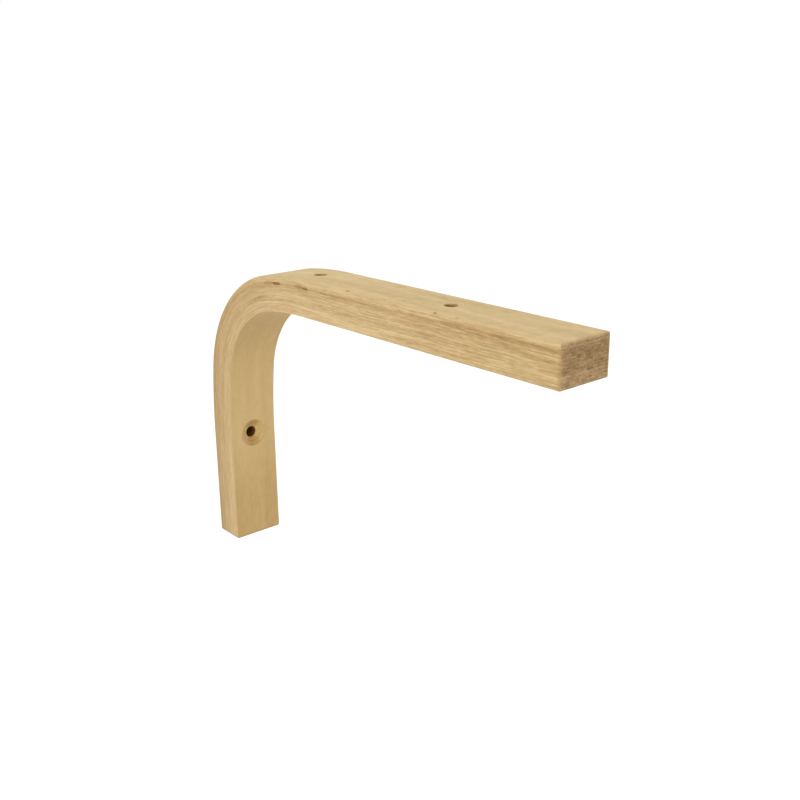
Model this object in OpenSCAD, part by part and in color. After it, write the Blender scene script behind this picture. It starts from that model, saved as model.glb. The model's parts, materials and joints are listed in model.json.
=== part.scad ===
// Bent laminated wood shelf bracket: one strip of glued veneers, bent once into a
// leg that is screwed to the wall and an arm that carries the shelf.
// The origin is on the axis of the wall screw, in the wall plane.
// +X points away from the wall along the arm, +Y across the strip, +Z up.

/* [Strip] */
// Reach of the arm, from the wall to its end
arm_reach = 280; // [220:1:400]
// Height, from the foot of the leg to the shelf
leg_height = 180; // [165:1:260]
// Width of the strip
strip_w = 32; // [24:0.5:50]
// Thickness of the glued veneers
strip_t = 20.4; // [14:0.1:24]

/* [Bend] */
// Centre-line radius where the leg eases into the bend
leg_ease_r = 300; // [200:5:320]
// Angle of the easing on the leg's side
leg_ease_angle = 8; // [4:1:10]
// Centre-line radius of the main bend
bend_r = 67; // [50:1:75]
// Centre-line radius where the bend eases into the arm
arm_ease_r = 220; // [150:5:260]
// Angle of the easing on the arm's side
arm_ease_angle = 8; // [4:1:10]

/* [Wall screw] */
// Height of the wall screw above the foot
wall_hole_up = 68.5; // [20:0.5:68.5]
// Bore of the wall screw
wall_hole_d = 7; // [5:0.5:9]
// Rim of its countersink, on the face that looks away from the wall
wall_sink_d = 17; // [12:0.5:18]
// Depth of its countersink
wall_sink_depth = 3; // [3:0.5:8]

/* [Shelf screws] */
// Distance from the wall to the nearer shelf screw
shelf_hole_out = 97; // [97:1:110]
// Distance between the two shelf screws
shelf_hole_gap = 102; // [50:1:102]
// Bore of the shelf screws
shelf_hole_d = 7; // [4:0.5:8]
// Rim of their countersinks, under the arm
shelf_sink_d = 14; // [10:0.5:16]
// Depth of their countersinks
shelf_sink_depth = 3.5; // [3:0.5:6]

/* [Hidden] */
$fn = 96;
slip = 1; // how far a cutter runs past a face
turn_step = 1; // degrees between two points of the bend
foot_z = -wall_hole_up;
shelf_z = foot_z + leg_height;

// The strip turns from straight up, at 0 degrees, to level, at 90, in three arcs
ease_end = leg_ease_angle;
bend_end = 90 - arm_ease_angle;

// Unit vector from an arc's centre to the strip where it has turned by this angle
function outward(angle) = [-cos(angle), sin(angle)];

// Steps from one arc's centre to the next, and how far the bend lifts the strip
ease_to_bend = (leg_ease_r - bend_r) * outward(ease_end);
bend_to_arm = (bend_r - arm_ease_r) * outward(bend_end);
bend_rise = ease_to_bend[1] + bend_to_arm[1] + arm_ease_r;

ease_centre = [strip_t / 2 + leg_ease_r, shelf_z - strip_t / 2 - bend_rise];
bend_centre = ease_centre + ease_to_bend;
arm_centre = bend_centre + bend_to_arm;

function arc_centre(angle) =
    angle < ease_end ? ease_centre : angle < bend_end ? bend_centre : arm_centre;
function arc_r(angle) =
    angle < ease_end ? leg_ease_r : angle < bend_end ? bend_r : arm_ease_r;

// A point of the bend, on the wall and shelf side (side = 1) or inside it (side = -1)
function bend_point(angle, side) =
    arc_centre(angle) + (arc_r(angle) + side * strip_t / 2) * outward(angle);

outer_bend = [for (a = [0 : turn_step : 90]) bend_point(a, 1)];
inner_bend = [for (a = [90 : -turn_step : 0]) bend_point(a, -1)];

module bent_strip() {
    foot = [[strip_t, foot_z], [0, foot_z]];
    arm_end = [[arm_reach, shelf_z], [arm_reach, shelf_z - strip_t]];
    rotate([90, 0, 0])
        linear_extrude(height = strip_w, center = true)
            polygon(concat(foot, outer_bend, arm_end, inner_bend));
}

// A screw hole up through the strip, with its countersink in the upper face
module screw_hole(hole_d, sink_d, sink_depth) {
    rim_slip = slip * (sink_d - hole_d) / 2 / sink_depth;
    translate([0, 0, -slip])
        cylinder(d = hole_d, h = strip_t + 2 * slip);
    translate([0, 0, strip_t - sink_depth])
        cylinder(r1 = hole_d / 2, r2 = sink_d / 2 + rim_slip, h = sink_depth + slip);
}

module bracket() {
    color("burlywood")
        difference() {
            bent_strip();
            rotate([0, 90, 0])
                screw_hole(wall_hole_d, wall_sink_d, wall_sink_depth);
            for (i = [0, 1])
                translate([shelf_hole_out + i * shelf_hole_gap, 0, shelf_z])
                    rotate([180, 0, 0])
                        screw_hole(shelf_hole_d, shelf_sink_d, shelf_sink_depth);
        }
}

bracket();
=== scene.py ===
"""Looks of a shelf bracket bent from one strip of glued birch veneers.

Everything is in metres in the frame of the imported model, except in the materials, whose
lengths are in millimetres. The strip is described by three coordinates: how far along it
from the foot of the leg, how deep below its outer face (the wall and shelf side), and how
far across its width.
"""
import json
import math

import bmesh
import bpy
import numpy as np
from mathutils import Matrix, Vector, noise


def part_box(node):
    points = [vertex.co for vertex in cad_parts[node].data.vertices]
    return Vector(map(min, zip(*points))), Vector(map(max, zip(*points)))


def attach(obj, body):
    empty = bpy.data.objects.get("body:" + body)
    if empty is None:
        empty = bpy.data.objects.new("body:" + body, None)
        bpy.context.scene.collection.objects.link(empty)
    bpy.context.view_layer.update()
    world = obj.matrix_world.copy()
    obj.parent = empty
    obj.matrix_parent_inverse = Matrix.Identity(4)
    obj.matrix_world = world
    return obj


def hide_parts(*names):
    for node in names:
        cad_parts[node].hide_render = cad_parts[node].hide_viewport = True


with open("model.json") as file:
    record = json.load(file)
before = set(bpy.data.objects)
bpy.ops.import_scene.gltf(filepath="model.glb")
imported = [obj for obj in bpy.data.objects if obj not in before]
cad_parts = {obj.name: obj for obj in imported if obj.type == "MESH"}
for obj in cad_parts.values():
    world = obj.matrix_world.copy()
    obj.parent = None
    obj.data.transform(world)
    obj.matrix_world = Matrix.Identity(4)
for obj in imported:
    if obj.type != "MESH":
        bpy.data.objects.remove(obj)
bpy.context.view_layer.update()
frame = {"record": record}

MM = 0.001
NODE = "bracket"

# ---------------------------------------------------------------- sizes from the frame

box_low, box_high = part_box(NODE)
mounts = {mount["name"]: mount for mount in frame["record"]["mounts"]}

WIDTH = box_high.y - box_low.y
FOOT_Z = box_low.z
SHELF_Z = box_high.z
REACH = box_high.x

# The frame doesn't state the countersinks, so their sizes repeat the CAD part's
WALL_BORE_R = mounts["wall_screw"]["dims"]["r_mm"] * MM
WALL_SINK_R = 8.5 * MM
WALL_SINK_DEPTH = 3 * MM
THICKNESS = mounts["wall_screw"]["dims"]["length_mm"] * MM + WALL_SINK_DEPTH

shelf_screws = mounts["shelf_screws"]
SHELF_BORE_R = shelf_screws["dims"]["hole_r_mm"] * MM
SHELF_SINK_R = 7 * MM
SHELF_SINK_DEPTH = 3.5 * MM
SHELF_GAP = shelf_screws["dims"]["spacing_x_mm"] * MM
SHELF_HOLES_X = [shelf_screws["pos_m"][0] + side * SHELF_GAP / 2 for side in (-1, 1)]

PLIES = 13
PLY = THICKNESS / PLIES

# ---------------------------------------------------------------- the bend

# Radii and angles of the centre line, which repeat the CAD part's
LEG_EASE_R = 300 * MM
LEG_EASE_ANGLE = math.radians(8)
BEND_R = 67 * MM
ARM_EASE_R = 220 * MM
ARM_EASE_ANGLE = math.radians(8)


def outward(angle):
    """Unit vector from an arc's centre to the strip, where the strip has turned by angle."""
    return np.stack([-np.cos(angle), np.sin(angle)], axis=-1)


def bend_arcs():
    """The three arcs of the centre line, as (centre, radius, first angle, last angle)."""
    bend_start = LEG_EASE_ANGLE
    bend_end = math.pi / 2 - ARM_EASE_ANGLE
    leg_to_bend = (LEG_EASE_R - BEND_R) * outward(bend_start)
    bend_to_arm = (BEND_R - ARM_EASE_R) * outward(bend_end)
    rise = leg_to_bend[1] + bend_to_arm[1] + ARM_EASE_R
    leg_centre = np.array([THICKNESS / 2 + LEG_EASE_R, SHELF_Z - THICKNESS / 2 - rise])
    bend_centre = leg_centre + leg_to_bend
    arm_centre = bend_centre + bend_to_arm
    return [
        (leg_centre, LEG_EASE_R, 0.0, bend_start),
        (bend_centre, BEND_R, bend_start, bend_end),
        (arm_centre, ARM_EASE_R, bend_end, math.pi / 2),
    ]


ARCS = bend_arcs()
LEG_LENGTH = ARCS[0][0][1] - FOOT_Z
ARC_LENGTHS = [radius * (last - first) for _, radius, first, last in ARCS]
ARC_STARTS = [LEG_LENGTH + sum(ARC_LENGTHS[:i]) for i in range(len(ARCS))]
ARM_START = LEG_LENGTH + sum(ARC_LENGTHS)
ARM_START_X = ARCS[2][0][0]
LENGTH = ARM_START + REACH - ARM_START_X

# How far along the strip the axes of the three screw holes are
HOLES_ALONG = [-FOOT_Z] + [ARM_START + x - ARM_START_X for x in SHELF_HOLES_X]


def bend(strip):
    """Points of the straight strip (along, depth, across) carried to the bent one."""
    along, depth, across = strip.T
    place = np.zeros_like(strip)
    place[:, 0] = np.where(along < LEG_LENGTH, depth, ARM_START_X + along - ARM_START)
    place[:, 1] = across
    place[:, 2] = np.where(along < LEG_LENGTH, FOOT_Z + along, SHELF_Z - depth)
    for start, length, (centre, radius, first, _) in zip(ARC_STARTS, ARC_LENGTHS, ARCS):
        here = (along >= start) & (along < start + length)
        angle = first + (along[here] - start) / radius
        reach = (radius + THICKNESS / 2 - depth[here])[:, None]
        place[here, 0::2] = centre + reach * outward(angle)
    return place


def unbend(place):
    """The strip coordinates (along, depth, across) of points of the bent strip."""
    x, y, z = place.T
    on_arm = x >= ARM_START_X
    along = np.where(on_arm, ARM_START + x - ARM_START_X, z - FOOT_Z)
    depth = np.where(on_arm, SHELF_Z - z, x)
    for start, (centre, radius, first, last) in zip(ARC_STARTS, ARCS):
        dx, dz = x - centre[0], z - centre[1]
        angle = np.arctan2(dz, -dx)
        here = ~on_arm & (z > ARCS[0][0][1]) & (angle >= first) & (angle <= last)
        along[here] = start + radius * (angle[here] - first)
        depth[here] = radius + THICKNESS / 2 - np.hypot(dx, dz)[here]
    return np.stack([along, depth, y], axis=-1)


# ---------------------------------------------------------------- relief of the wood

# All edges and corners are rounded. The near corner of the arm's end is worn rounder, which
# fades out at END_CORNER_DEPTH below the outer face
OUTER_EDGE_R = 1.2 * MM
INNER_EDGE_R = 0.6 * MM
CORNER_R = 1.2 * MM
END_CORNER_R = 4.4 * MM
END_CORNER_DEPTH = 8 * MM

# How deep the relief of the sides, the sawn ends and the faces is
SIDE_SHRUNK = 0.012 * MM
SIDE_GLUE = 0.045 * MM
SIDE_FIBRES = 0.010 * MM
END_GLUE = 0.06 * MM
END_TORN = 0.03 * MM
FACE_SWELLS = 0.015 * MM
FACE_FIBRES = 0.006 * MM

# The veneers have shrunk in waves: how long these are, and how far, as an angle, one veneer's
# lie from the next one's, and the far side's from the near side's
SHRUNK_WAVE = 60 * MM
SHRUNK_TURN = 2.4
FAR_SIDE_TURN = 7.0

GLUE_HALF_WIDTH = 0.14 * MM
TINY = 1e-9
UNCHANGED = 1.0  # so long a noise length, a metre, that the noise hardly changes that way

# Gaps between veneers, open on the near side: middle, half length, depth, half height, how deep
GAPS = [
    (198.2 * MM, 5.2 * MM, 4.30 * MM, 1.50 * MM, 0.30 * MM),
    (205.3 * MM, 3.9 * MM, 4.45 * MM, 1.10 * MM, 0.85 * MM),
    (226.2 * MM, 4.0 * MM, 4.45 * MM, 1.30 * MM, 0.38 * MM),
    (231.1 * MM, 2.6 * MM, 4.60 * MM, 1.25 * MM, 0.65 * MM),
    (247.2 * MM, 3.4 * MM, 4.65 * MM, 0.75 * MM, 0.26 * MM),
]

# A gap's floor is flat to this share of its height, and its wall ends this far past it
GAP_FLOOR = 0.55
GAP_LIP = 0.05 * MM
# Its height is this share of the one stated, and varies along it by this share
GAP_HEIGHT = 0.85
GAP_RAGGED = 0.4


def smooth(value, start, end):
    """Goes smoothly from 0 at start to 1 at end."""
    share = np.clip((value - start) / (end - start), 0, 1)
    return share * share * (3 - 2 * share)


def wander(strip, lengths, seed):
    """Smooth noise from -1 to 1, with features of these lengths along, through and across."""
    scaled = strip / np.array(lengths)
    return np.array([noise.noise(Vector((a, b, c + seed))) for a, b, c in scaled])


def glue_lines(depth):
    """1 on a glue line and 0 away from it."""
    line = np.round(depth / PLY)
    inside = (line >= 1) & (line <= PLIES - 1)
    return np.exp(-(((depth - line * PLY) / GLUE_HALF_WIDTH) ** 2)) * inside


def gap_depth(strip):
    """How far each point of the near side sinks into an open gap."""
    along, depth, across = strip.T
    sunk = np.zeros(len(strip))
    ragged = GAP_HEIGHT + GAP_RAGGED * wander(strip, (1.6 * MM, 3 * MM, UNCHANGED), seed=5)
    for middle, half_length, level, half_height, how_deep in GAPS:
        end = np.abs(along - middle) / half_length
        height = half_height * (1 - end**3).clip(0) * ragged
        inside = 1 - smooth(np.abs(depth - level), height * GAP_FLOOR, height + GAP_LIP)
        sunk = np.maximum(sunk, how_deep * inside * (end < 1))
    return sunk * (across < 0)


def side_relief(strip):
    """Hollow of the two sides, where the veneers' edges show."""
    along, depth, across = strip.T
    veneer = np.floor(depth / PLY)
    turn = veneer * SHRUNK_TURN + np.where(across < 0, 0.0, FAR_SIDE_TURN) + along / SHRUNK_WAVE
    shrunk = SIDE_SHRUNK * (1 + np.sin(turn))
    uneven = 0.6 + 0.4 * wander(strip, (14 * MM, 1.2 * MM, UNCHANGED), seed=3)
    open_glue = SIDE_GLUE * uneven * glue_lines(depth)
    fibres = SIDE_FIBRES * (1 + wander(strip, (16 * MM, 0.35 * MM, UNCHANGED), seed=11))
    return shrunk + open_glue + fibres + gap_depth(strip)


def end_relief(strip):
    """Hollow of the two sawn ends."""
    open_glue = END_GLUE * glue_lines(strip[:, 1])
    torn = END_TORN * (1 + wander(strip, (UNCHANGED, 0.5 * MM, 0.7 * MM), seed=17))
    return open_glue + torn


def face_relief(strip):
    """Hollow of the outer and inner face."""
    swells = FACE_SWELLS * (1 + wander(strip, (70 * MM, UNCHANGED, 9 * MM), seed=23))
    fibres = FACE_FIBRES * (1 + wander(strip, (20 * MM, UNCHANGED, 0.8 * MM), seed=29))
    return swells + fibres


# ---------------------------------------------------------------- the strip's mesh

# The materials' places in the piece's list
SIDES, OUTER, INNER, ENDS, DRILLED = range(5)

# Stations over the rounding at each end of the strip's length, thickness and width
NEAR_END = np.array([0, 0.15, 0.32, 0.55, 0.78, 1.0, 1.35, 1.8, 2.5, 3.4, 4.4]) * MM
SAME_STATION = 0.03 * MM  # stations this close are taken as one

# How many even stations there are each way, and how far they keep from a glue line's own
EVEN_ALONG = 205
EVEN_THROUGH = 2 * PLIES
EVEN_ACROSS = 18
CLEAR_OF_GLUE = 0.25 * MM

# Steps at the gaps: along the shallow and the deep ones, and through the veneers they are in
SHALLOW_GAP_STEP = 0.7 * MM
DEEP_GAP_STEP = 0.35 * MM
DEEP_GAP = 0.5 * MM
GAP_LEVELS = np.arange(3.2 * MM, 5.6 * MM, 0.125 * MM)


def merged(*groups):
    """Sorted stations, with those that nearly fall together taken once."""
    stations = np.sort(np.concatenate(groups))
    keep = np.concatenate([[True], np.diff(stations) > SAME_STATION])
    return stations[keep]


def spread(length, count):
    """Even stations, with closer ones over the rounding at both ends."""
    even = np.linspace(NEAR_END[-1], length - NEAR_END[-1], count)
    return merged(NEAR_END, even[1:-1], length - NEAR_END)


def along_stations():
    """Closer together on the rounded ends and beside the open gaps."""
    fine = []
    for middle, half_length, _, _, how_deep in GAPS:
        step = DEEP_GAP_STEP if how_deep > DEEP_GAP else SHALLOW_GAP_STEP
        fine.append(np.arange(middle - half_length - MM, middle + half_length + MM, step))
    return merged(spread(LENGTH, EVEN_ALONG), *fine)


def depth_stations():
    """Closer together at each glue line and in the veneers that the gaps are in."""
    lines = np.arange(1, PLIES) * PLY
    even = spread(THICKNESS, EVEN_THROUGH)
    away = np.min(np.abs(even[:, None] - lines), axis=1) > CLEAR_OF_GLUE
    grooves = [lines - GLUE_HALF_WIDTH, lines, lines + GLUE_HALF_WIDTH]
    return merged(even[away], GAP_LEVELS, *grooves)


def across_stations():
    """From the near side, at -WIDTH / 2, to the far side."""
    return spread(WIDTH, EVEN_ACROSS) - WIDTH / 2


def unit(vectors):
    """The vectors at a length of 1, and those of no length as they are."""
    return vectors / np.linalg.norm(vectors, axis=1).clip(TINY)[:, None]


def corner_radii(along, depth, across):
    """Radius of the strip's corners in plan: one corner of the arm's end is worn rounder."""
    worn = (along > LENGTH / 2) & (across < 0)
    near_face = 1 - smooth(depth, 0, END_CORNER_DEPTH)
    return CORNER_R + (END_CORNER_R - CORNER_R) * worn * near_face


def eased(strip):
    """Rounds the strip's corners and edges. Gives the points and their outward directions."""
    along, depth, across = strip.T
    outer = depth < THICKNESS / 2
    below = np.where(outer, depth, THICKNESS - depth)
    edge = np.where(outer, OUTER_EDGE_R, INNER_EDGE_R)
    corner = corner_radii(along, depth, across)
    plan = strip[:, 0::2]
    low = np.array([0, -WIDTH / 2]) + corner[:, None]
    high = np.array([LENGTH, WIDTH / 2]) - corner[:, None]
    core = np.clip(plan, low, high)
    out = plan - core
    reach = np.abs(out).max(axis=1)
    out = unit(out)
    rim = np.stack([reach - corner + edge, edge - below], axis=1).clip(0)
    size = rim.max(axis=1)
    rim = unit(rim)
    reach = np.where(rim[:, 0] > 0, corner - edge + rim[:, 0] * size, reach)
    below = np.where(rim[:, 1] > 0, edge - rim[:, 1] * size, below)
    points = np.empty_like(strip)
    points[:, 0::2] = core + out * reach[:, None]
    points[:, 1] = np.where(outer, below, THICKNESS - below)
    away = np.empty_like(strip)
    away[:, 0::2] = out * rim[:, :1]
    away[:, 1] = np.where(outer, -rim[:, 1], rim[:, 1])
    return points, away


def block_grid(stations):
    """The surface of a block of lattice points: points, quads and each quad's material."""
    counts = [len(line) for line in stations]
    index = np.arange(np.prod(counts)).reshape(counts)
    quads, kinds = [], []
    for axis, pair in ((0, (ENDS, ENDS)), (1, (OUTER, INNER)), (2, (SIDES, SIDES))):
        for side, kind in zip((0, -1), pair):
            sheet = np.take(index, side, axis=axis)
            corners = [sheet[:-1, :-1], sheet[1:, :-1], sheet[1:, 1:], sheet[:-1, 1:]]
            made = np.stack([corner.ravel() for corner in corners], axis=1)
            quads.append(made)
            kinds.append(np.full(len(made), kind))
    quads, kinds = np.concatenate(quads), np.concatenate(kinds)
    used, quads = np.unique(quads, return_inverse=True)
    lattice = np.stack(np.unravel_index(used, counts), axis=1)
    columns = [line[place] for line, place in zip(stations, lattice.T)]
    return np.stack(columns, axis=1), quads.reshape(-1, 4), kinds


def carved(points):
    """The eased block with the relief of its sides, ends and faces."""
    points, away = eased(points)
    share = np.abs(away)
    sunk = end_relief(points) * share[:, 0] ** 2
    sunk += face_relief(points) * share[:, 1] ** 2
    sunk += side_relief(points) * share[:, 2] ** 2
    return points - away * sunk[:, None]


def placed(name, data):
    """A new object in the scene."""
    made = bpy.data.objects.new(name, data)
    bpy.context.scene.collection.objects.link(made)
    return made


def mesh_object(name, points, faces, kinds, materials):
    """A closed mesh with its faces turned outwards."""
    mesh = bpy.data.meshes.new(name)
    mesh.from_pydata(points.tolist(), [], faces)
    mesh.polygons.foreach_set("material_index", np.asarray(kinds, dtype=np.int32))
    shape = bmesh.new()
    shape.from_mesh(mesh)
    bmesh.ops.recalc_face_normals(shape, faces=shape.faces)
    shape.to_mesh(mesh)
    shape.free()
    for material in materials:
        mesh.materials.append(material)
    return placed(name, mesh)


# ---------------------------------------------------------------- screw holes

CUTTER_SIDES = 72
BORE_RINGS = 2 * PLIES
SINK_RINGS = 16
PAST = 1 * MM  # how far a cutter runs past a face

# Torn wood: how far it is torn anywhere in a hole, how deep the worst of it goes and where that
# ends, and its noise: the ring it is read on and the lengths of its features
TORN_ANYWHERE = 0.05 * MM
TORN_WORST = 0.2 * MM
TORN_END = 1.4 * MM
TORN_RING_R = 3 * MM
TORN_LENGTHS = (1.6 * MM, 1.3 * MM, 1.3 * MM)
TORN_SEED = 31

# For each hole, in the order of HOLES_ALONG: how far the wood is torn round its mouth in the
# outer face, and how deep below that mouth the bore's painted shade starts and is full
TORN_MOUTHS = [0.5 * MM, 0.85 * MM, 0.1 * MM]
BORES_SHADE_SPAN = np.array([(0, 3.6), (0, 3.6), (0.5, 1.6)]) * MM

WELD = 0.003 * MM  # points this close are taken as one


def hole_profile(bore_r, sink_r, sink_depth):
    """Radius at each height of a hole through the strip, with its countersink on top."""
    slope = (sink_r - bore_r) / sink_depth
    bottom, top = -PAST, THICKNESS + PAST
    sink_z = THICKNESS - sink_depth
    bore = np.linspace(bottom, sink_z, BORE_RINGS)
    sink = np.linspace(sink_z, top, SINK_RINGS)[1:]
    heights = np.concatenate([bore, sink])
    radii = bore_r + slope * (heights - sink_z).clip(0)
    return heights, radii


def hole_cutter(bore_r, sink_r, sink_depth, torn_mouth, seed):
    """Points and faces of the solid that a drill and a countersink take out, along +Z."""
    heights, radii = hole_profile(bore_r, sink_r, sink_depth)
    turn = np.linspace(0, 2 * math.pi, CUTTER_SIDES, endpoint=False)
    height, angle = np.meshgrid(heights, turn, indexing="ij")
    radius = np.repeat(radii[:, None], CUTTER_SIDES, axis=1)
    cosine, sine = np.cos(angle), np.sin(angle)
    ring = np.stack([height, TORN_RING_R * cosine, TORN_RING_R * sine], axis=-1)
    torn = wander(ring.reshape(-1, 3), TORN_LENGTHS, seed)
    near_mouth = 1 - smooth(height, TORN_WORST, TORN_END)
    radius += torn.reshape(radius.shape).clip(0) * (TORN_ANYWHERE + torn_mouth * near_mouth)
    points = np.stack([radius * cosine, radius * sine, height], axis=-1)
    index = np.arange(height.size).reshape(height.shape)
    beside = np.roll(index, -1, axis=1)
    corners = [index[:-1], beside[:-1], beside[1:], index[1:]]
    faces = np.stack([corner.ravel() for corner in corners], axis=1).tolist()
    faces += [index[0].tolist(), index[-1].tolist()]
    return points.reshape(-1, 3), faces


def turned(points, matrix):
    """Points carried by a 4 by 4 matrix."""
    matrix = np.array(matrix)
    return points @ matrix[:3, :3].T + matrix[:3, 3]


def screw_hole_cutters(materials):
    """One object of the three solids to be cut out of the strip."""
    wall = Matrix.Rotation(math.pi / 2, 4, "Y")
    holes = [(wall, WALL_BORE_R, WALL_SINK_R, WALL_SINK_DEPTH)]
    for x in SHELF_HOLES_X:
        shelf = Matrix.Translation((x, 0, SHELF_Z)) @ Matrix.Rotation(math.pi, 4, "X")
        holes.append((shelf, SHELF_BORE_R, SHELF_SINK_R, SHELF_SINK_DEPTH))
    points, faces, count = [], [], 0
    for hole, (matrix, bore_r, sink_r, sink_depth) in enumerate(holes):
        sizes = (bore_r, sink_r, sink_depth, TORN_MOUTHS[hole])
        own_points, own_faces = hole_cutter(*sizes, TORN_SEED + hole)
        points.append(turned(own_points, matrix))
        faces += [[count + corner for corner in face] for face in own_faces]
        count += len(own_points)
    kinds = np.full(len(faces), DRILLED)
    return mesh_object("screw_holes", np.concatenate(points), faces, kinds, materials)


def cut(piece, cutter):
    """Cuts the cutter out of the piece, and removes the cutter."""
    modifier = piece.modifiers.new("cut", "BOOLEAN")
    modifier.operation = "DIFFERENCE"
    modifier.solver = "EXACT"
    modifier.object = cutter
    bpy.context.view_layer.update()
    graph = bpy.context.evaluated_depsgraph_get()
    mesh = bpy.data.meshes.new_from_object(piece.evaluated_get(graph))
    piece.modifiers.clear()
    piece.data = mesh
    bpy.data.objects.remove(cutter)
    shape = bmesh.new()
    shape.from_mesh(mesh)
    bmesh.ops.remove_doubles(shape, verts=shape.verts, dist=WELD)
    bmesh.ops.dissolve_degenerate(shape, edges=shape.edges, dist=WELD)
    shape.to_mesh(mesh)
    shape.free()


# ---------------------------------------------------------------- what the materials read

# A point is in a hole if it is this near its axis and this deep below both faces
HOLE_REACH = 10 * MM
SKIN = 0.05 * MM
# Painted shade: a bore darkens over this much depth from its countersink, and a gap from this deep
# to this
SINK_TO_SHADE = 1.2 * MM
GAP_SHADE_SPAN = (0.02 * MM, 0.6 * MM)


def write_strip_coordinates(mesh):
    """Keeps each point's strip coordinates, in millimetres, for the materials."""
    place = np.zeros(len(mesh.vertices) * 3)
    mesh.vertices.foreach_get("co", place)
    strip = unbend(place.reshape(-1, 3))
    made = mesh.attributes.new("strip_mm", "FLOAT_VECTOR", "POINT")
    made.data.foreach_set("vector", (strip / MM).ravel())
    return strip


def write_value(mesh, name, values):
    """Keeps one number for each point."""
    made = mesh.attributes.new(name, "FLOAT", "POINT")
    made.data.foreach_set("value", values)


def nearest_hole(strip):
    """Which screw hole each point is nearest to, and how far along from its axis it is."""
    beside = strip[:, 0, None] - np.array(HOLES_ALONG)
    nearest = np.abs(beside).argmin(axis=1)
    return nearest, beside[np.arange(len(strip)), nearest]


def write_marks(mesh, strip):
    """Keeps how much painted shade each point gets deep inside a gap or a bore, and how far its
    hole cuts across the grain, both from 0 to 1."""
    hole, beside = nearest_hole(strip)
    depth, across = strip[:, 1], strip[:, 2]
    radius = np.hypot(beside, across)
    in_hole = (radius < HOLE_REACH) & (depth > SKIN) & (depth < THICKNESS - SKIN)
    sink_depth = np.where(hole == 0, WALL_SINK_DEPTH, SHELF_SINK_DEPTH)
    bore_shade_from_sink = smooth(THICKNESS - depth - sink_depth, 0, SINK_TO_SHADE)
    bore_shade_from_mouth = smooth(depth, *BORES_SHADE_SPAN[hole].T)
    gap_shade = smooth(gap_depth(strip), *GAP_SHADE_SPAN)
    write_value(mesh, "hollow_shade", np.maximum(gap_shade, in_hole * bore_shade_from_sink * bore_shade_from_mouth))
    write_value(mesh, "cross_cut", in_hole * np.abs(beside) / radius.clip(MM))


# The unwrapped surface, on a square canvas: the four long faces lie in rows, each cut in two
# at HALVES, and the ends and screw holes stand beside the shorter parts
CANVAS = 227 * MM
MARGIN = 1.5 * MM
HALVES = 183 * MM
BESIDE = HALVES + 2.5 * MARGIN
HOLE_ROW = 38 * MM  # the width of a hole's wall, unrolled


def row_starts(heights, first):
    """Where each of some rows, one above another, starts."""
    return first + np.concatenate([[0], np.cumsum(np.array(heights) + MARGIN)[:-1]])


def corner_places(mesh, strip):
    """Each face corner's strip coordinates, and those of its face's middle, and its material."""
    counts = np.zeros(len(mesh.polygons), np.int32)
    kinds = np.zeros(len(mesh.polygons), np.int32)
    corners = np.zeros(len(mesh.loops), np.int32)
    mesh.polygons.foreach_get("loop_total", counts)
    mesh.polygons.foreach_get("material_index", kinds)
    mesh.loops.foreach_get("vertex_index", corners)
    starts = np.concatenate([[0], np.cumsum(counts)[:-1]])
    middles = np.add.reduceat(strip[corners], starts) / counts[:, None]
    return strip[corners], np.repeat(middles, counts, axis=0), np.repeat(kinds, counts)


def turn_in_hole(place, middle):
    """The hole that each corner is in, and how far round it, from about 0 to 1. The corners of
    one face stay together, so none is torn apart where the turn starts again."""
    hole, beside = nearest_hole(place)
    _, middle_beside = nearest_hole(middle)
    turn = np.arctan2(middle[:, 2], middle_beside)
    own_turn = np.arctan2(place[:, 2], beside)
    own_turn = turn + (own_turn - turn + math.pi) % (2 * math.pi) - math.pi
    return hole, own_turn / (2 * math.pi) + 0.5


def write_unwrapping(mesh, strip):
    """Lays the surface out flat, with no part on another, all but the holes at one scale."""
    place, middle, kind = corner_places(mesh, strip)
    along, depth, across = place.T
    heights = [WIDTH, WIDTH, THICKNESS, THICKNESS]
    long_rows = row_starts(heights, MARGIN)
    short_rows = row_starts(heights, long_rows[-1] + heights[-1] + MARGIN)
    beside_rows = row_starts([THICKNESS] * (2 + len(HOLES_ALONG)), short_rows[0])

    sheet = np.select([kind == OUTER, kind == INNER, middle[:, 2] < 0], [0, 1, 2], 3)
    second_half = middle[:, 0] > HALVES
    up = np.where(sheet < 2, across + WIDTH / 2, depth)
    up += np.where(second_half, long_rows[sheet], short_rows[sheet])
    right = MARGIN + along - HALVES * second_half

    at_end = kind == ENDS
    last = (middle[:, 0] > LENGTH / 2).astype(int)
    right = np.where(at_end, BESIDE + across + WIDTH / 2, right)
    up = np.where(at_end, beside_rows[last] + depth, up)

    drilled = kind == DRILLED
    hole, share = turn_in_hole(place, middle)
    right = np.where(drilled, BESIDE + MARGIN / 2 + HOLE_ROW * share, right)
    up = np.where(drilled, beside_rows[2 + hole] + depth, up)

    layout = mesh.uv_layers.new(name="OFBake")
    layout.uv.foreach_set("vector", np.stack([right, up], axis=1).ravel() / CANVAS)


# ---------------------------------------------------------------- materials

def colour(red, green, blue):
    """A colour given as 0 to 255 on screen, as the shader wants it."""
    def linear(value):
        value /= 255
        return value / 12.92 if value <= 0.04045 else ((value + 0.055) / 1.055) ** 2.4
    return (linear(red), linear(green), linear(blue), 1.0)


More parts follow.
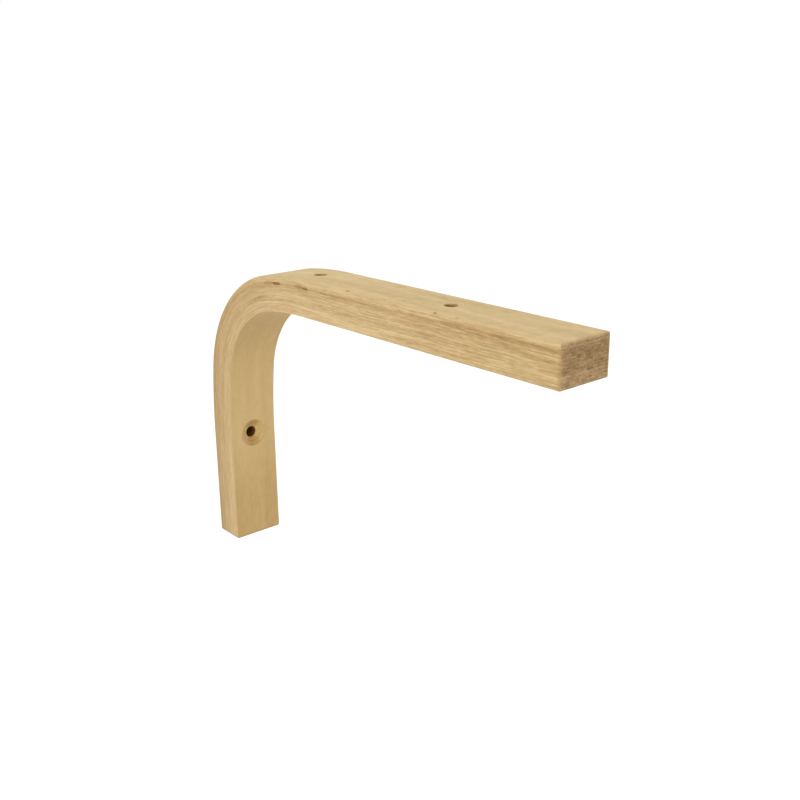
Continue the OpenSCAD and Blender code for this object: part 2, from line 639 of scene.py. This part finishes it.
class Shading:
    """Adds nodes to one material. Lengths are in millimetres, but for the bump's."""

    def __init__(self, name):
        self.material = bpy.data.materials.new(name)
        self.material.use_nodes = True
        self.tree = self.material.node_tree
        self.shader = self.tree.nodes["Principled BSDF"]

    def feed(self, socket, value):
        """Links another node's socket to this one, or sets its value."""
        if isinstance(value, bpy.types.NodeSocket):
            self.tree.links.new(value, socket)
        else:
            socket.default_value = value

    def add(self, kind, inputs, **settings):
        """A new node with these inputs and settings."""
        node = self.tree.nodes.new(kind)
        for name, value in settings.items():
            setattr(node, name, value)
        for name, value in inputs.items():
            self.feed(node.inputs[name], value)
        return node

    def maths(self, operation, *values):
        made = self.add("ShaderNodeMath", {}, operation=operation)
        for socket, value in zip(made.inputs, values):
            self.feed(socket, value)
        return made.outputs[0]

    def read(self, name):
        """Something that the mesh keeps for each point."""
        return self.add("ShaderNodeAttribute", {}, attribute_name=name)

    def parts(self, vector):
        made = self.add("ShaderNodeSeparateXYZ", {"Vector": vector})
        return made.outputs["X"], made.outputs["Y"], made.outputs["Z"]

    def join(self, x, y, z):
        return self.add("ShaderNodeCombineXYZ", {"X": x, "Y": y, "Z": z}).outputs[0]

    def stretched(self, vector, lengths):
        """The vector in steps of these lengths."""
        steps = [1 / length for length in lengths]
        made = self.add("ShaderNodeVectorMath", {}, operation="MULTIPLY")
        self.feed(made.inputs[0], vector)
        self.feed(made.inputs[1], steps)
        return made.outputs[0]

    def noise(self, vector, lengths, detail=2.0, roughness=0.5, warp=0.0):
        """Noise from 0 to 1, with features of these lengths along, through and across."""
        where = self.stretched(vector, lengths)
        values = {"Vector": where, "Scale": 1.0, "Detail": detail}
        values.update({"Roughness": roughness, "Distortion": warp})
        return self.add("ShaderNodeTexNoise", values).outputs["Fac"]

    def between(self, value, start, end, low=0.0, high=1.0):
        """Goes smoothly from low at start to high at end."""
        values = {"Value": value, "From Min": start, "From Max": end}
        values.update({"To Min": low, "To Max": high})
        made = self.add("ShaderNodeMapRange", values, interpolation_type="SMOOTHSTEP")
        return made.outputs["Result"]

    def mix(self, share, first, second):
        """The first colour where share is 0, and the second where it is 1."""
        made = self.add("ShaderNodeMix", {}, data_type="RGBA")
        self.feed(made.inputs[0], share)
        self.feed(made.inputs[6], first)
        self.feed(made.inputs[7], second)
        return made.outputs[2]

    def ramp(self, value, stops, interpolation="LINEAR"):
        """The colour at this value, from stops of (value, colour)."""
        made = self.add("ShaderNodeValToRGB", {"Fac": value})
        made.color_ramp.interpolation = interpolation
        points = made.color_ramp.elements
        while len(points) < len(stops):
            points.new(1.0)
        for point, (place, shade) in zip(points, stops):
            point.position = place
            point.color = shade
        return made.outputs["Color"]

    def finish(self, base, rough, height, depth):
        """Colour, roughness, and a bump as deep as depth, in metres."""
        self.feed(self.shader.inputs["Base Color"], base)
        self.feed(self.shader.inputs["Roughness"], rough)
        bump = self.add("ShaderNodeBump", {"Height": height, "Distance": depth})
        self.feed(self.shader.inputs["Normal"], bump.outputs["Normal"])
        return self.material


# Each palette goes from the wood's dark figure, over its middle tone, to its light figure
SIDE_TONES = [colour(168, 131, 78), colour(205, 171, 115), colour(236, 206, 152)]
OUTER_TONES = [colour(184, 155, 99), colour(203, 175, 120), colour(218, 192, 139)]
INNER_TONES = [colour(194, 157, 96), colour(214, 180, 119), colour(226, 194, 134)]
END_TONES = [colour(128, 93, 50), colour(168, 134, 89), colour(203, 171, 126)]
DRILLED_TONES = [colour(176, 138, 80), colour(220, 186, 124), colour(232, 202, 144)]
RUSSET = colour(208, 160, 112)
# painted shade in the open gaps between veneers
GAP_SHADE = colour(166, 125, 64)
FLECK = colour(132, 92, 28)
# painted shade deep in the screw bores
BORE_SHADE = colour(114, 76, 15)

# How light each veneer is on the sides, from the outer face inwards: on the leg and the arm,
# and how far along the one turns into the other
LEG_VENEERS = [0.46, 0.30, 0.40, 0.48, 0.52, 0.54, 0.57, 0.57, 0.62, 0.67, 0.69, 0.69, 0.64]
ARM_VENEERS = [0.76, 0.72, 0.60, 0.56, 0.60, 0.58, 0.68, 0.54, 0.58, 0.79, 0.68, 0.73, 0.70]
LEG_TO_ARM = (130, 195)

# How the lightness changes along the sides and the inner face: from this far along to that,
# by this much before and that much after
SIDE_CHANGES = [(180, 210, 0.0, 0.11), (260, 380, 0.0, -0.14)]
# On the inner face the drop from 100 to 160 mm along, into the bend's inner corner under the arm,
# is painted shade
INNER_CHANGES_AND_SHADE = [(20, 75, -0.18, 0.26), (100, 160, 0.0, -0.42), (170, 260, 0.0, 0.22)]

# Darker lines along the near side: middle (along, deep), half length, half height, darkness
DARK_LINES = [
    ((185.0, 11.6), 15.0, 0.6, 0.34),
    ((250.0, 4.5), 72.0, 1.1, 0.30),
    ((368.0, 3.9), 62.0, 1.6, 0.34),
]

# Dark flecks at the arm's near edge: middle (along, deep, across), half length, darkness
FLECKS = [
    ((267.3, 0.2, -15.2), 2.0, 0.7),
    ((295.7, 0.3, -14.9), 1.4, 0.5),
    ((304.0, 0.0, -9.7), 1.2, 0.5),
    ((332.0, 0.4, -15.4), 1.5, 0.8),
    ((346.0, 0.5, -15.2), 1.4, 0.45),
]

# The other two sizes of lines and flecks, and the share of its size to which each is full.
# Each has faded out at SPOT_END of its size
LINE_ACROSS = 6
LINE_FULL = 0.3
FLECK_DEEP = 0.5
FLECK_ACROSS = 0.7
FLECK_FULL = 0.4
SPOT_END = 1.2

SEED_APART = 531.0  # how far along the noise of one material is from the next's
VENEER_APART = 17.3  # and how far through that of one veneer is from the next's
GLUE_WANDER = 0.30  # how far the glue lines stray in all
CORNER_TURN = (2.2, 0.35)  # how near a corner a face starts and ends turning to the next's tone
NOISE_SPAN = (0.3, 0.7)  # what noise mostly stays within


def strip_coordinates(wood, seed):
    """Strip coordinates for one material, shifted by its own seed."""
    vector = wood.read("strip_mm").outputs["Vector"]
    along, depth, across = wood.parts(vector)
    shifted = wood.join(wood.maths("ADD", along, seed * SEED_APART), depth, across)
    return shifted, along, depth, across


def veneer_number(wood, where, depth):
    """Which veneer a point is in, and where in it, with glue lines that wander a little."""
    drift = wood.noise(where, (45, 5, 60), detail=1)
    least = wood.maths("ADD", depth, -GLUE_WANDER / 2)
    counted = wood.maths("DIVIDE", wood.maths("MULTIPLY_ADD", drift, GLUE_WANDER, least), PLY / MM)
    return wood.maths("FLOOR", counted), wood.maths("FRACT", counted)


def veneer_lightness(wood, number, along):
    """How light a veneer is, which changes from the leg to the arm."""
    place = wood.maths("DIVIDE", wood.maths("ADD", number, 0.5), float(PLIES))
    levels = []
    for veneers in (LEG_VENEERS, ARM_VENEERS):
        stops = [(i / PLIES, (light, light, light, 1)) for i, light in enumerate(veneers)]
        levels.append(wood.ramp(place, stops, "CONSTANT"))
    mixed = wood.mix(wood.between(along, *LEG_TO_ARM), *levels)
    return wood.parts(mixed)[0]


def swing(wood, value, amount):
    """Noise from 0 to 1 as a change of lightness about 0."""
    return wood.maths("MULTIPLY", wood.maths("SUBTRACT", value, 0.5), amount)


def total(wood, *values):
    """The sum of the values."""
    summed = values[0]
    for value in values[1:]:
        summed = wood.maths("ADD", summed, value)
    return summed


def glue_darkness(wood, share, width, dark):
    """This dark on the glue between two veneers, where a veneer starts and ends, and 0 in the
    wood."""
    from_middle = wood.maths("ABSOLUTE", wood.maths("SUBTRACT", share, 0.5))
    return wood.maths("MULTIPLY", wood.between(from_middle, 0.5 - width, 0.5), -dark)


def spot_share(wood, place, middle, sizes, full):
    """1 in an egg-shaped spot and 0 outside it, with a soft rim where full is small."""
    away = wood.add("ShaderNodeVectorMath", {}, operation="SUBTRACT")
    wood.feed(away.inputs[0], place)
    wood.feed(away.inputs[1], middle)
    scaled = wood.stretched(away.outputs[0], sizes)
    size = wood.add("ShaderNodeVectorMath", {}, operation="LENGTH")
    wood.feed(size.inputs[0], scaled)
    return wood.between(size.outputs["Value"], SPOT_END, full)


def fleck_share(wood, place):
    """How dark the dark flecks are, and 0 elsewhere."""
    darkest = 0.0
    for middle, half_length, dark in FLECKS:
        sizes = (half_length, FLECK_DEEP, FLECK_ACROSS)
        spot = spot_share(wood, place, middle, sizes, FLECK_FULL)
        darkest = wood.maths("MAXIMUM", darkest, wood.maths("MULTIPLY", spot, dark))
    return darkest


def changes_along(wood, along, changes):
    """What each of some changes of lightness comes to, this far along."""
    return [wood.between(along, *change) for change in changes]


def dark_lines(wood, place):
    """How much darker the near side is on its dark lines."""
    darkest = 0.0
    for (along, deep), half_length, half_height, dark in DARK_LINES:
        middle = (along, deep, -WIDTH / MM / 2)
        sizes = (half_length, half_height, LINE_ACROSS)
        line = spot_share(wood, place, middle, sizes, LINE_FULL)
        darkest = wood.maths("MAXIMUM", darkest, wood.maths("MULTIPLY", line, dark))
    return darkest


def toned(wood, light, tones):
    """The colour of wood as light as this, from 0 to 1."""
    return wood.ramp(light, [(0, tones[0]), (0.5, tones[1]), (1, tones[2])])


def turning(wood, inward, most):
    """How far the wood's tone turns to that of the face round the corner, which is this many
    millimetres away."""
    return wood.between(inward, *CORNER_TURN, 0.0, most)


def roughness(wood, noise, dull, glossy):
    """Roughness that follows the wood's noise."""
    return wood.between(noise, *NOISE_SPAN, dull, glossy)


def from_end(wood, along):
    """How many millimetres away the nearer end of the strip is."""
    return wood.maths("MINIMUM", along, wood.maths("SUBTRACT", LENGTH / MM, along))


def side_wood(name, seed):
    """The strip's sides: veneer edges one above another, streaked along the strip."""
    wood = Shading(name)
    where, along, depth, across = strip_coordinates(wood, seed)
    number, share = veneer_number(wood, where, depth)
    x, y, z = wood.parts(where)
    apart = wood.join(x, wood.maths("MULTIPLY_ADD", number, VENEER_APART, y), z)
    drift = wood.noise(apart, (60, 1.8, 60), detail=2)
    streaks = wood.noise(apart, (20, 0.7, 3), detail=3, roughness=0.6)
    dashes = wood.noise(apart, (4.5, 0.6, 1.2), detail=2, roughness=0.6)
    # the grain stands out less on the leg than on the arm
    lively = wood.between(along, 190, 320, 0.65, 1.0)
    grain = wood.maths("ADD", swing(wood, streaks, 1.6), swing(wood, dashes, 1.1))
    light = total(
        wood, veneer_lightness(wood, number, along), swing(wood, drift, 0.5),
        wood.maths("MULTIPLY", grain, lively), glue_darkness(wood, share, width=0.12, dark=0.16),
        *changes_along(wood, along, SIDE_CHANGES),
    )
    place = wood.join(along, depth, across)
    light = wood.maths("SUBTRACT", light, dark_lines(wood, place))
    tone = toned(wood, light, SIDE_TONES)
    at_edge = wood.between(depth, 1.2, 0.3, 0.0, 0.8)
    tone = wood.mix(at_edge, tone, OUTER_TONES[1])
    reddish = wood.between(wood.noise(where, (22, 3, 30), detail=1), 0.56, 0.72, 0.0, 0.35)
    tone = wood.mix(reddish, tone, RUSSET)
    tone = wood.mix(turning(wood, from_end(wood, along), 0.5), tone, END_TONES[1])
    # painted shade in the open gaps, darker where they sink deeper
    tone = wood.mix(wood.read("hollow_shade").outputs["Fac"], tone, GAP_SHADE)
    tone = wood.mix(fleck_share(wood, place), tone, FLECK)
    rough = roughness(wood, streaks, 0.66, 0.54)
    height = wood.maths("ADD", streaks, wood.maths("MULTIPLY", dashes, 0.6))
    return wood.finish(tone, rough, height, depth=0.03 * MM)


def face_wood(name, seed, tones, figured, changes):
    """The outer or inner veneer: smooth, with a figure as strong as figured, from 0 to 1."""
    wood = Shading(name)
    where, along, depth, across = strip_coordinates(wood, seed)
    figure = wood.noise(where, (90, 40, 8), detail=3, warp=0.6)
    mottle = wood.noise(where, (7, 20, 4), detail=2)
    fibres = wood.noise(where, (24, 20, 0.7), detail=3, roughness=0.6)
    pores = wood.noise(where, (3.2, 9, 0.3), detail=1)
    open_pores = wood.between(pores, 0.36, 0.24, 0.0, -0.5)
    plain = 0.52
    light = total(
        wood, swing(wood, figure, 1.2 * figured), swing(wood, mottle, 0.9 * figured),
        swing(wood, fibres, 0.8 * figured), open_pores, plain,
        *changes_along(wood, along, changes),
    )
    tone = toned(wood, light, tones)
    tone = wood.mix(turning(wood, from_end(wood, along), 0.3), tone, END_TONES[1])
    place = wood.join(along, depth, across)
    tone = wood.mix(fleck_share(wood, place), tone, FLECK)
    rough = roughness(wood, fibres, 0.66, 0.56)
    height = wood.maths("ADD", fibres, wood.maths("MULTIPLY", pores, 0.5))
    return wood.finish(tone, rough, height, depth=0.02 * MM)


def end_wood(name, seed):
    """The sawn ends: speckled end grain, darker in some veneers, which turns to the tones of
    the sides and the outer face at its edges."""
    wood = Shading(name)
    where, _, depth, across = strip_coordinates(wood, seed)
    number, share = veneer_number(wood, where, depth)
    blotch = wood.noise(where, (60, 2.5, 3.5), detail=2)
    speckle = wood.noise(where, (60, 0.75, 1.1), detail=2, roughness=0.6)
    rays = wood.noise(where, (60, 0.6, 4.0), detail=1)
    on_arm = LENGTH / MM
    veneer = swing(wood, veneer_lightness(wood, number, on_arm), 0.8)
    glue = glue_darkness(wood, share, width=0.14, dark=0.22)
    lowest = wood.between(depth, 12, 16, 0.0, 0.12)
    plain = 0.41
    light = total(
        wood, veneer, swing(wood, blotch, 1.0), swing(wood, speckle, 1.0),
        swing(wood, rays, 0.8), glue, lowest, plain,
    )
    tone = toned(wood, light, END_TONES)
    from_side = wood.maths("SUBTRACT", WIDTH / MM / 2, wood.maths("ABSOLUTE", across))
    tone = wood.mix(turning(wood, from_side, 0.5), tone, SIDE_TONES[1])
    at_edge = wood.between(depth, 1.3, 0.3, 0.0, 0.45)
    tone = wood.mix(at_edge, tone, OUTER_TONES[1])
    rough = roughness(wood, speckle, 0.85, 0.72)
    return wood.finish(tone, rough, speckle, depth=0.05 * MM)


def drilled_wood(name, seed):
    """Walls of the screw holes: darker across the grain, and painted shade deep inside the bore.
    """
    wood = Shading(name)
    where, _, depth, _ = strip_coordinates(wood, seed)
    _, share = veneer_number(wood, where, depth)
    torn = wood.noise(where, (0.8, 0.5, 0.8), detail=2)
    cross_cut = wood.read("cross_cut").outputs["Fac"]
    across_grain = wood.between(cross_cut, 0.6, 1.0, 0.0, -0.32)
    glue = glue_darkness(wood, share, width=0.14, dark=0.2)
    plain = 0.5
    light = total(wood, swing(wood, torn, 0.9), across_grain, glue, plain)
    tone = toned(wood, light, DRILLED_TONES)
    # painted shade deep inside the bore
    tone = wood.mix(wood.read("hollow_shade").outputs["Fac"], tone, BORE_SHADE)
    wood.shader.inputs["Specular IOR Level"].default_value = 0.2
    rough = 0.85
    return wood.finish(tone, rough, torn, depth=0.05 * MM)


# ---------------------------------------------------------------- the piece

SHARP_ANGLE = math.radians(38)  # edges that turn more than this are shaded sharp


def bracket_wood():
    """The whole bracket, as one piece."""
    materials = [
        side_wood("birch_veneer_edges", 0),
        face_wood("birch_outer_veneer", 1, OUTER_TONES, figured=1.0, changes=[]),
        face_wood("birch_inner_veneer", 2, INNER_TONES, figured=0.5, changes=INNER_CHANGES_AND_SHADE),
        end_wood("birch_end_grain", 3),
        drilled_wood("birch_drilled", 4),
    ]
    stations = (along_stations(), depth_stations(), across_stations())
    points, quads, kinds = block_grid(stations)
    bent = bend(carved(points))
    piece = mesh_object("bracket_wood", bent, quads.tolist(), kinds, materials)
    cut(piece, screw_hole_cutters(materials))
    strip = write_strip_coordinates(piece.data)
    write_marks(piece.data, strip)
    write_unwrapping(piece.data, strip)
    piece.data.shade_smooth()
    piece.data.set_sharp_from_angle(angle=SHARP_ANGLE)
    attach(piece, "root")
    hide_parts(NODE)


# ---------------------------------------------------------------- camera, light and floor

CAMERA_PLACE = (0.5359, -0.3228, 0.2172)
CAMERA_YAW = math.radians(-49.211)
CAMERA_PITCH = math.radians(18.091)
CAMERA_ROLL = math.radians(-0.478)
CAMERA_LENS = 45.67  # millimetres, as is the sensor
CAMERA_SENSOR = 36
CAMERA_NEAREST = 0.01

WORLD_LIGHT = 0.72
# Lamps: name, place from the bracket's middle, how wide it is, and its power in watts
LAMPS = [
    ("overhead", (-0.1, -0.1, 1.3), 1.2, 4),
    ("front", (0.7, -1.2, 0.6), 1.0, 5),
]

FLOOR_Z = -0.85
FLOOR_HALF = 30.0
FLOOR_SHADE = 0.82
FLOOR_GLOW = 0.5


def make_camera():
    """Looks down on the bracket from in front of the arm's end."""
    forward = Vector((
        math.sin(CAMERA_YAW) * math.cos(CAMERA_PITCH),
        math.cos(CAMERA_YAW) * math.cos(CAMERA_PITCH),
        -math.sin(CAMERA_PITCH),
    ))
    level = Vector((math.cos(CAMERA_YAW), -math.sin(CAMERA_YAW), 0))
    above = level.cross(forward)
    right = math.cos(CAMERA_ROLL) * level + math.sin(CAMERA_ROLL) * above
    up = right.cross(forward)
    data = bpy.data.cameras.new("camera")
    data.sensor_width = CAMERA_SENSOR
    data.lens = CAMERA_LENS
    data.clip_start = CAMERA_NEAREST
    camera = placed("camera", data)
    turn = Matrix((right, up, -forward)).transposed()
    camera.matrix_world = Matrix.Translation(CAMERA_PLACE) @ turn.to_4x4()
    bpy.context.scene.camera = camera


def seen_directly(tree):
    """1 for rays from the camera or from a mirror or glass, 0 for light that scatters."""
    path = tree.nodes.new("ShaderNodeLightPath")
    seen = path.outputs["Is Camera Ray"]
    for name in ("Is Glossy Ray", "Is Transmission Ray"):
        either = tree.nodes.new("ShaderNodeMath")
        either.operation = "MAXIMUM"
        tree.links.new(seen, either.inputs[0])
        tree.links.new(path.outputs[name], either.inputs[1])
        seen = either.outputs[0]
    return seen


def make_world():
    """White where it is seen, and a plain grey light where it only lights."""
    world = bpy.data.worlds.new("studio")
    world.use_nodes = True
    bpy.context.scene.world = world
    tree = world.node_tree
    background = tree.nodes["Background"]
    background.inputs["Color"].default_value = (1, 1, 1, 1)
    level = tree.nodes.new("ShaderNodeMapRange")
    level.inputs["To Min"].default_value = WORLD_LIGHT
    level.inputs["To Max"].default_value = 1.0
    tree.links.new(seen_directly(tree), level.inputs["Value"])
    tree.links.new(level.outputs["Result"], background.inputs["Strength"])


def make_floor():
    """A plain pale floor well below the bracket, which hangs on a wall."""
    mesh = bpy.data.meshes.new("floor")
    corners = [(-1, -1), (1, -1), (1, 1), (-1, 1)]
    points = [(x * FLOOR_HALF, y * FLOOR_HALF, FLOOR_Z) for x, y in corners]
    mesh.from_pydata(points, [], [(0, 1, 2, 3)])
    floor = placed("floor", mesh)
    material = bpy.data.materials.new("pale_floor")
    material.use_nodes = True
    tree = material.node_tree
    shader = tree.nodes["Principled BSDF"]
    shader.inputs["Base Color"].default_value = (FLOOR_SHADE, FLOOR_SHADE, FLOOR_SHADE, 1)
    shader.inputs["Roughness"].default_value = 0.9
    shader.inputs["Specular IOR Level"].default_value = 0.0
    shader.inputs["Emission Color"].default_value = (1, 1, 1, 1)
    glow = tree.nodes.new("ShaderNodeMath")
    glow.operation = "MULTIPLY"
    glow.inputs[1].default_value = FLOOR_GLOW
    tree.links.new(seen_directly(tree), glow.inputs[0])
    tree.links.new(glow.outputs[0], shader.inputs["Emission Strength"])
    mesh.materials.append(material)


def make_lamp(name, place, aim, size, power):
    """A large soft lamp, turned to shine on a point."""
    data = bpy.data.lights.new(name, "AREA")
    data.shape = "SQUARE"
    data.size = size
    data.energy = power
    lamp = placed(name, data)
    lamp.location = place
    lamp.rotation_mode = "QUATERNION"
    lamp.rotation_quaternion = (aim - place).to_track_quat("-Z", "Y")


def make_lights():
    """The studio's light, from the world and the lamps."""
    middle = (box_low + box_high) / 2
    make_world()
    for name, place, size, power in LAMPS:
        make_lamp(name, middle + Vector(place), middle, size, power)


# ---------------------------------------------------------------- the scene

bpy.context.scene.view_settings.view_transform = "Standard"
make_camera()
make_lights()
make_floor()
bracket_wood()
